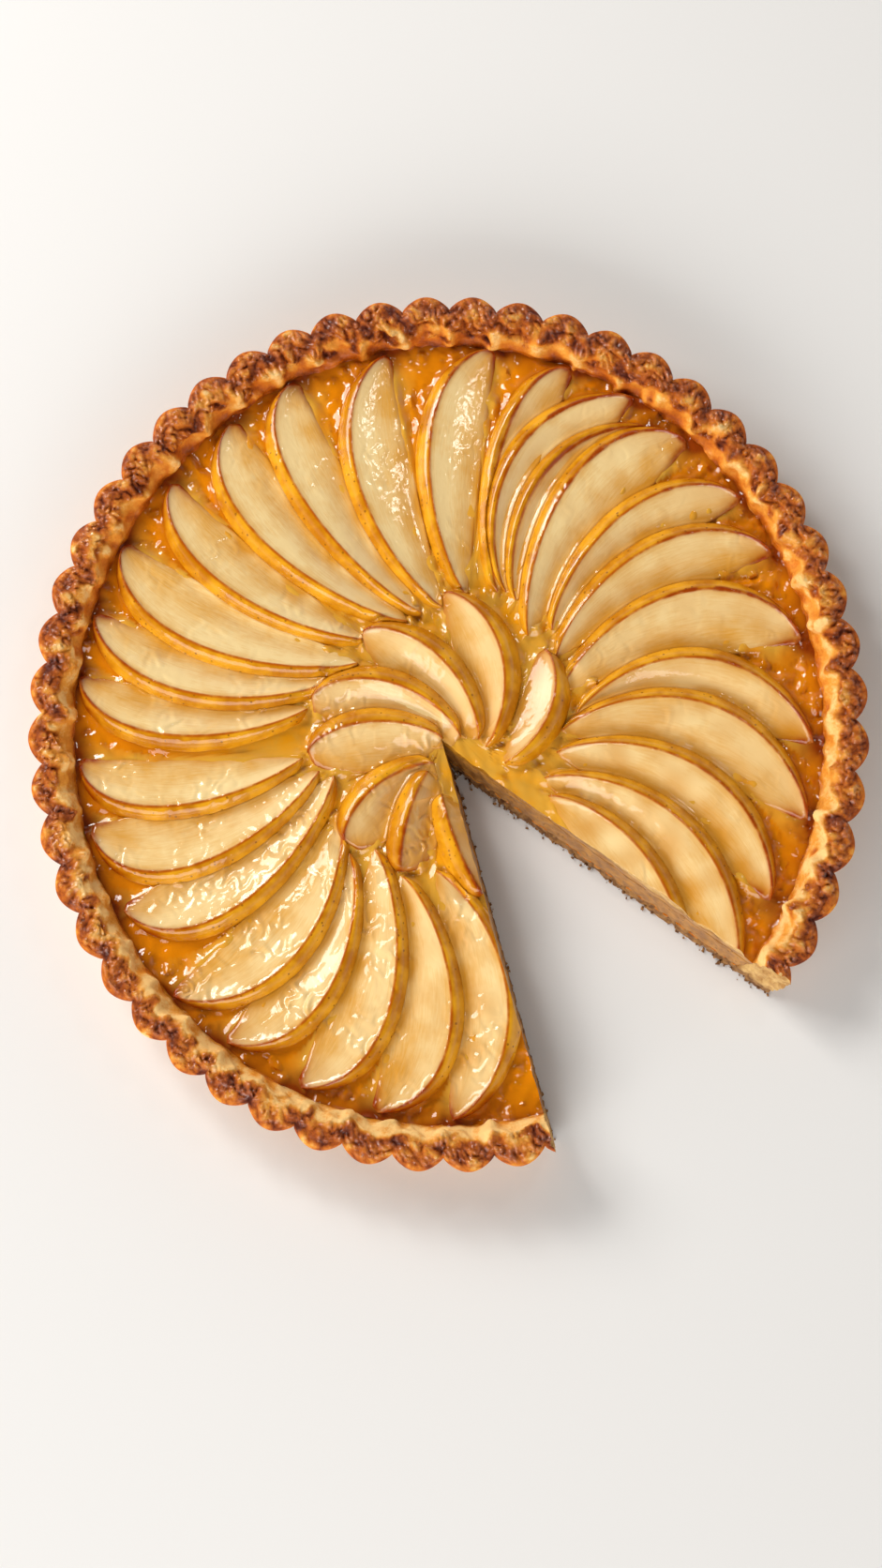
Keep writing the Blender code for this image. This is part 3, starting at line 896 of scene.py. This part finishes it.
for number, piece in enumerate(slices):
    made = make_slice(piece, lying_on(number))
print("each slice has about", len(made.data.polygons), "faces")
bpy.data.objects.remove(blank, do_unlink=True)

# %% [markdown]
# The crust. A real one is dough pressed into a fluted ring: a scalloped wall, a crest that
# browns and blisters, and a smooth pale slope down to the jelly. Its drum has one column for
# every half millimetre of the rim, and its rows follow the wall from below, over the crest and
# down inside. The rows lie closest on the crest, where the blisters need them.

# %% Crust profile
# How far in from the rim's radius, share of the flute's depth, height: the model's own rows
OUTER_ROWS = (
    (9.2, 0.80, 0.0),
    (7.0, 0.90, 11.55),
    (4.7, 1.0, 23.1),
    (5.3, 0.92, 26.3),
    (8.2, 0.45, 27.5),
    (10.8, 0.25, 26.3),
    (12.9, 0.12, 22.0),
    (14.7, 0.0, 18.0),
    (18.5, 0.0, 5.0),
)
# Rows of faces from each row to the next
ROW_COUNTS = (5, 6, 8, 9, 8, 11, 5, 2)


def smooth_rows(rows, counts):
    """More rows between the given ones, on a curve that passes through each of them."""
    rows = np.array(rows, float)
    padded = np.vstack([rows[0], rows, rows[-1]])
    made = []
    for n, count in enumerate(counts):
        a, b, c, d = padded[n:n + 4]
        for t in np.arange(count) / count:
            made.append(0.5 * (2 * b + (c - a) * t + (2 * a - 5 * b + 4 * c - d) * t ** 2
                               + (3 * b - a - 3 * c + d) * t ** 3))
    return np.array(made + [rows[-1]])


profile = smooth_rows(OUTER_ROWS, ROW_COUNTS)
print("rows on the crust:", len(profile))

# %% Crust form
CRUST_COLUMNS = FLUTES * 35
LOBE_POWER = 0.8
# The flutes start just before +X, and their spacing drifts a little round the tart
FLUTE_START, FLUTE_DRIFT, DRIFT_FROM = -0.45, 0.95, 20
crust = drum("fluted_crust", CRUST_COLUMNS, len(profile) - 1)
turn, row = drum_places(crust)
row = np.round(row * (len(profile) - 1)).astype(int)
inset, flute_share, level = profile[row].T
lobe = np.abs(np.sin(np.radians(turn) * FLUTES / 2)) ** LOBE_POWER
degrees = FLUTE_START + turn + FLUTE_DRIFT * np.cos(np.radians(turn - DRIFT_FROM))
radius = RIM_R - inset * MM + FLUTE_DEPTH * flute_share * lobe
flat = plan(radius, degrees)
points = np.column_stack([flat, level * MM])
print("crust across, mm:", round(2 * radius.max() / MM, 1))

# %% [markdown]
# The relief of the crest. A displacement modifier with a texture could do it, but here the
# browning has to know where each blister is. So the relief is worked out as numbers, and both
# use it. Soft lumps come first, then blisters in two sizes with fine cracks between them, and
# all of it fades out towards the wall and the slope. Where two flutes meet, the dough was
# folded, so a pale ridge runs inward from there, and some flutes carry a pale lump of dough.
# Distances in from the rim, levels and lifts are in millimetres.

# %% Parts of the crust
def ease(value, low, high):
    """0 below one value, 1 above the other, and a soft step between them."""
    share = unit((value - low) / (high - low))
    return share * share * (3 - 2 * share)


# The palest side in degrees, where the oven browned least and painted light falls on the inner
# slope, and where the crest and the outer wall end
PALE_SIDE = -85
CREST_BOTTOM = 21.5
WALL_INSET = 9.3
BELOW_TOP = 0.2 * MM
up_high = level > CREST_BOTTOM
# Share of paleness for each side: less browning, with painted light where the inner slope faces the
# light and painted shade where it faces away
less_browned_and_lit = (0.5 + 0.5 * np.cos(np.radians(degrees - PALE_SIDE))) ** 0.7
soft = ripples(points, 7.5 * MM, 34)
crest_end = 12.0 - 1.7 * less_browned_and_lit + 0.8 * soft
crest = ease(inset, 5.0, 6.2) * (1 - ease(inset, crest_end - 0.8, crest_end + 0.8)) * up_high
inner = ease(inset, crest_end - 1.6, crest_end - 0.2)
inner = inner * (1 - ease(inset, crest_end + 1.4, crest_end + 3.6))
slope = ease(inset, 9.2, 11.2) * (1 - 0.6 * ease(inset, 13.0, 14.7)) * (level > 17.9)
wall = ease(level, 0.5, 4) * (1 - ease(level, 20, 24)) * (inset < 9)
print("points on the crest:", int((crest > 0.5).sum()))

# %% Crust relief
big = np.abs(ripples(points, 8.5 * MM, 30))
blister = np.abs(ripples(points, 5.0 * MM, 31))
grit = np.abs(ripples(points, 2.5 * MM, 32))
fine = ripples(points, 1.5 * MM, 33)
valley = 1 - lobe
fold_share = chance(np.column_stack([np.round(turn * FLUTES / 360) % FLUTES] * 3), 35)
fold = ease(valley, 0.3, 0.85) * np.clip(fold_share * 1.5, 0.1, 1)
fold = fold + 0.6 * ease(ripples(points, 9 * MM, 39), 0.1, 1.2)
lump_share = chance(np.column_stack([np.floor(turn * FLUTES / 360)] * 3), 40)
lump = ease(lobe, 0.5, 0.9) * np.exp(-((inset - 9.0) / 1.4) ** 2)
lump = lump * ease(lump_share, 0.45, 0.8) * up_high
fold = unit(fold * inner + lump)
lift = crest * (0.5 * big + 0.7 * blister + 0.45 * grit + 0.1 * fine - 1.5) + fold * 0.9
lift = lift - 0.35 * np.exp(-((inset - 5.5) / 0.5) ** 2) * up_high
ways = flat / np.linalg.norm(flat, axis=1)[:, None]
between = 0.5 + 0.5 * np.cos(np.radians(turn * FLUTES))
bulge = slope * (0.35 * ripples(points, 6 * MM, 36) + 0.3 + between * (0.5 + fold_share))
bulge = bulge + fold * 1.2
sideways = crest * (7.0 - inset) / 3.0 * (0.5 * blister + 0.3 * grit - 0.7) - bulge
sideways = sideways + wall * (0.12 * ripples(points, 4 * MM, 37) + 0.1 * (grit - 0.8)) - 0.3
points[:, :2] += ways * (sideways * MM)[:, None]
points[:, 2] = np.minimum(points[:, 2] + lift * MM, cad_high.z - BELOW_TOP)
set_points(crust, points)
print("highest crag, mm:", round(points[:, 2].max() / MM, 2))

# %% [markdown]
# Browning and painted shade. It starts from how much the oven has caught each side of the tart,
# and from painted light and shade, as the inner slope faces the light on one side and away from it
# on the other. It rises towards the jelly, where the glaze reaches the slope's foot and painted
# shade fills the corner. On the crest it deepens in the cracks and between the flutes, as deeper
# browning and painted shade, the blister tops are paler as a painted highlight, and folds and
# lumps stay pale. The outer wall keeps an even light brown. The crest's high spots are glossy, and
# so is the foot of the slope, where the glaze reaches it.

# %% Crust browning
# Painted shade on the slope: darker on the side away from the light and towards the corner by the
# jelly, over its real browning
brown_and_shade = (0.62 - 0.57 * less_browned_and_lit) * (0.45 + 0.55 * ease(inset, 11.2, 13.8))
brown_and_shade = brown_and_shade + 0.2 * ease(inset, 13.2, 14.7) + 0.07 * ripples(points, 6 * MM, 38)
# Deeper browning with painted shade in the cracks and in the valleys between the flutes
crack_browning_and_shade = 0.18 * np.exp(-blister / 0.16) + 0.12 * np.exp(-grit / 0.2)
crack_browning_and_shade = crack_browning_and_shade + 0.1 * np.exp(-big / 0.2) + 0.16 * valley
# Random tone, with a painted highlight that leaves the raised blister tops less brown
patchy = 0.08 * soft - 0.08 * (blister - 0.8) - 0.05 * (big - 0.8) - 0.04 * (grit - 0.8)
outer = ease(level, 14, 25) * (inset < 7)
brown_and_shade = brown_and_shade + np.maximum(crest, outer) * (0.2 + 0.22 * less_browned_and_lit + 0.95 * crack_browning_and_shade + 1.15 * patchy)
brown_and_shade = brown_and_shade * (1 - 0.7 * fold)
low_wall = (inset < WALL_INSET) & (level < 23)
brown_and_shade = np.where(low_wall, np.maximum(brown_and_shade, 0.36 + 0.05 * soft), brown_and_shade)
shine = crest * (0.08 + 0.92 * ease(grit, 0.4, 1.2)) + 0.8 * ease(inset, 13.0, 14.4)
side = (inset < WALL_INSET) * (1 - ease(level, 21, 25.5))
kept = cut_wedge(crust, unit(brown_and_shade), unit(shine), crest, side)
keep_value(crust, "tint", kept[:3])
# One value fills all three places of the second attribute
keep_value(crust, "side", kept[3:] * 3)
finish_piece(crust, [crust_material, crumb_material], "crust", "crust", smooth=60)
print("crust faces:", len(crust.data.polygons))

# %% [markdown]
# The filling is a flat layer that is hidden by the jelly, so only its cut sides show. The cutter
# gives those their pits, and a drum with a single row is all that it needs.

# %% Filling
filling = drum("cream_layer", 360, 1)
turn, row = drum_places(filling)
height = np.where(row < 0.5, filling_low.z, filling_high.z)
set_points(filling, np.column_stack([plan(wall_radius(height) - WALL_GAP, turn), height]))
cut_wedge(filling)
finish_piece(filling, [filling_material], "filling", "filling")
print("filling faces:", len(filling.data.polygons))

# %% [markdown]
# The jelly was poured in warm, so it lies level, ripples a little as it sets, and climbs the
# crust and the pears where it touches them. Those small climbs catch the light as bright lines.
# A fluid simulation could find them, but they only depend on how far each point is from the
# nearest slice and from the wall, so they are written down from that.

# %% Jelly plan
JELLY_COLUMNS = 900
edge_r = wall_radius(jelly_high.z) - 0.2 * MM
# Rows lie close where the jelly shows: by the rim, and round the rosette
jelly_rows = np.concatenate([
    np.linspace(edge_r, 96 * MM, 56), np.linspace(92 * MM, 54 * MM, 8),
    np.linspace(52 * MM, 14 * MM, 44), np.linspace(11 * MM, 3 * MM, 4)])
jelly = drum("jelly_layer", JELLY_COLUMNS, len(jelly_rows))
turn, row = drum_places(jelly)
row = np.round(row * len(jelly_rows)).astype(int)
radius = np.where(row == 0, wall_radius(jelly_low.z) - WALL_GAP, jelly_rows[np.maximum(row - 1, 0)])
flat = plan(radius, turn)
near = np.full(len(flat), FAR)
low_side = np.zeros(len(flat), bool)
for piece in slices:
    deep, share, side = piece.inside(flat)
    inner, outer = piece.outline(unit(share))
    low_side = np.where(deep > near, side < (inner + outer) / 2, low_side)
    near = np.maximum(near, deep)
away = np.clip(-near, 0, None)
from_wall = edge_r - radius
outward = unit((radius / MM - 62) / 40)
print("jelly points under the pears:", int((near > 0).sum()), "of", len(near))

# %% Jelly ripples
# Heights are in millimetres
patch = np.clip(0.35 + 0.65 * ripples(flat, 16 * MM, 50), 0, 1.5) * (1.3 + 1.2 * flat[:, 0])
# By the rim the ripples are longer outwards than along the wall, as the radius counts for less
ring = np.column_stack([flat / np.linalg.norm(flat, axis=1)[:, None] * 110 * MM, radius / 1.7])
choppy = ripples(ring, 4.4 * MM, 52) * outward + ripples(flat, 4.4 * MM, 56) * (1 - outward)
wet = 0.2 * ripples(flat, 9 * MM, 51) + (0.09 + 0.2 * patch) * choppy
wet = wet + 0.03 * patch * ripples(flat, 2.2 * MM, 53)
mound, mound_share = pebbles(np.column_stack([flat, 0 * radius]), 3.2 * MM, 57)
mounds = mound ** 4 * (0.75 * (mound_share > 0.75) - 0.6 * (mound_share < 0.2))
wet = wet + outward * mounds * unit(away / (3 * MM)) * (1 + 0.3 * (flat[:, 0] > 0))
low_climb = 1.3 - 0.5 * unit((radius / MM - 112) / 8)
climb = np.where(low_side, low_climb * np.exp(-away / (2.2 * MM)), 0.9 * np.exp(-away / (1.5 * MM)))
climb = np.where(near > 0, np.where(low_side, low_climb, 0.9), climb)
broken = np.clip(0.5 + 0.5 * ripples(flat, 6 * MM, 54), 0.05, 1)
climb = climb + 0.7 * broken * np.exp(-from_wall / (1.1 * MM))
height = np.where(row == 0, jelly_low.z, jelly_high.z + (wet + climb - 0.1) * MM)
set_points(jelly, np.column_stack([flat, height]))
print("jelly climbs up to, mm:", round(climb.max(), 2))

# %% Jelly colours
# Pale on the low side of a slice; painted shade by the wall and by a slice's skin side, and dark
# caramel round the tips of the ring
cream = np.where(low_side, 1.0, 0.0) * np.exp(-away / (4 * MM))
cream = cream * (0.85 + 0.2 * ripples(flat, 12 * MM, 55))
shade_and_caramel = np.where(low_side, 0.0, 0.35) * np.exp(-away / (1.5 * MM))
shade_and_caramel = shade_and_caramel + 0.8 * np.exp(-from_wall / (2.4 * MM))
for piece in slices[:RING_COUNT]:
    from_tip = np.linalg.norm(flat - piece.tip, axis=1)
    shade_and_caramel = shade_and_caramel + (0.4 + 0.6 * piece.toast) * np.exp(-(from_tip / (5 * MM)) ** 2)
kept = cut_wedge(jelly, outward, unit(shade_and_caramel) * outward, unit(cream))
keep_value(jelly, "tint", kept)
finish_piece(jelly, [jelly_material, cut_jelly_material], "glaze", "glaze")
print("jelly faces:", len(jelly.data.polygons))
bpy.data.objects.remove(cutter, do_unlink=True)

# %% [markdown]
# Crumbs. The knife leaves some along the foot of each cut, more of them towards the wedge's
# point. One crumb is a small ball with few faces. It is copied, and each copy is squashed,
# knocked out of round and turned in its own way, then set down on its lowest point. As they are
# all one kind, they are joined into one piece. A particle system is quicker, but its copies
# aren't meshes of their own.

# %% Crumbs
CRUMBS_RIGHT, CRUMBS_LEFT = 130, 60
# In millimetres: the nearest and the reach along the cut, how far aside, and how large
NEAREST_OUT, REACH_OUT = 2, 134
LEAST_ASIDE, USUAL_ASIDE = 0.1, 0.5
USUAL_SIZE, SMALLEST, LARGEST = 0.34, 0.16, 0.9
bpy.ops.object.select_all(action="DESELECT")
bpy.ops.mesh.primitive_uv_sphere_add(segments=8, ring_count=5, radius=1, location=(0, 0, 0))
crumb = bpy.context.object
crumb.name = crumb.data.name = "crust_crumbs"
ball = get_points(crumb)
rng = np.random.default_rng(61)
heap = [crumb]
for number in range(CRUMBS_RIGHT + CRUMBS_LEFT):
    on_right = number < CRUMBS_RIGHT
    way, inward = (right_way, into_right) if on_right else (left_way, into_left)
    out = NEAREST_OUT + REACH_OUT * rng.uniform() ** 1.3
    aside = LEAST_ASIDE + USUAL_ASIDE * rng.exponential()
    size = np.clip(USUAL_SIZE * math.exp(0.45 * rng.normal()), SMALLEST, LARGEST)
    if number:
        heap.append(crumb.copy())
        heap[-1].data = crumb.data.copy()
        bpy.context.collection.objects.link(heap[-1])
    spin, tilt = rng.uniform(0, 2 * math.pi, 2)
    shape = ball * rng.uniform(0.6, 1.3, 3) * (1 + 0.22 * ripples(ball, 1.1, 100 + number))[:, None]
    shape = shape @ np.array(((1, 0, 0), (0, math.cos(tilt), -math.sin(tilt)),
                              (0, math.sin(tilt), math.cos(tilt))))
    shape = shape @ np.array(((math.cos(spin), -math.sin(spin), 0),
                              (math.sin(spin), math.cos(spin), 0), (0, 0, 1)))
    shape *= size * MM
    shape[:, 2] -= shape[:, 2].min()
    shape[:, :2] += wedge_corner(0) + (way * out + inward * aside) * MM
    set_points(heap[-1], shape)
for piece in heap:
    piece.select_set(True)
bpy.context.view_layer.objects.active = crumb
bpy.ops.object.join()
finish_piece(crumb, [crumb_material], "crust", smooth=50)
print("crumbs:", len(heap), "faces:", len(crumb.data.polygons))

# %% [markdown]
# The floor and the light. On glossy food a light is seen twice: as brightness, and as its own
# mirror image. A small bright window, high behind on the left, gives the crisp highlights, and a
# smaller one on the right a few more. A broad soft light on the left gives the modelling, and a
# wide one in front opens the shadows. The sky is pale low down and dark overhead, because level
# jelly mirrors what is straight above it.

# %% Floor
bpy.ops.object.select_all(action="DESELECT")
bpy.ops.mesh.primitive_plane_add(size=6, location=(0, 0, 0))
floor = bpy.context.object
floor.name = "floor"
floor_material, tree, shader, spot = new_material("pale_floor")
shader.inputs["Base Color"].default_value = paint("E9E7E4")
shader.inputs["Roughness"].default_value = 0.6
floor.data.materials.append(floor_material)
floor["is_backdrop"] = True


# %% Lights
def area_light(name, spot, width, height, watts, colour):
    """A soft light that faces the tart."""
    bpy.ops.object.light_add(type="AREA", location=spot)
    light = bpy.context.object
    light.name = name
    light.data.shape = "RECTANGLE"
    light.data.size, light.data.size_y = width, height
    light.data.energy = watts
    light.data.color = colour
    light.rotation_euler = (-Vector(spot)).to_track_quat("-Z", "Y").to_euler()


area_light("window", (-0.82, 0.93, 1.2), 0.32, 0.42, 6.3, (1.0, 0.985, 0.96))
area_light("side_window", (0.45, 0.5, 1.2), 0.08, 0.16, 0.65, (1.0, 0.985, 0.96))
area_light("broad_left", (-1.15, 0.75, 0.95), 0.9, 0.6, 16.5, (1.0, 0.985, 0.965))
area_light("soft_front", (-0.4, -1.5, 0.9), 2.4, 0.9, 26.5, (1.0, 0.99, 0.98))

# %% Sky
SKY_LOW, SKY_OVERHEAD = 0.88, 0.05
world = bpy.data.worlds.new("pale_sky")
bpy.context.scene.world = world
world.use_nodes = True
sky = world.node_tree
way = add(sky, "ShaderNodeTexCoord").outputs["Generated"]
upward = add(sky, "ShaderNodeSeparateXYZ", {0: way}).outputs[2]
background = sky.nodes["Background"].inputs
background["Color"].default_value = (1.0, 0.985, 0.97, 1.0)
sky.links.new(span(sky, upward, 0.2, 0.8, SKY_LOW, SKY_OVERHEAD), background["Strength"])
bpy.context.scene.view_settings.view_transform = "Standard"

# %% [markdown]
# Last, the sizes. The dressed tart has to stay the size of the model, so both boxes are written
# down.

low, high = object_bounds()
print("dressed size in mm:", [round(1000 * s, 1) for s in high - low])
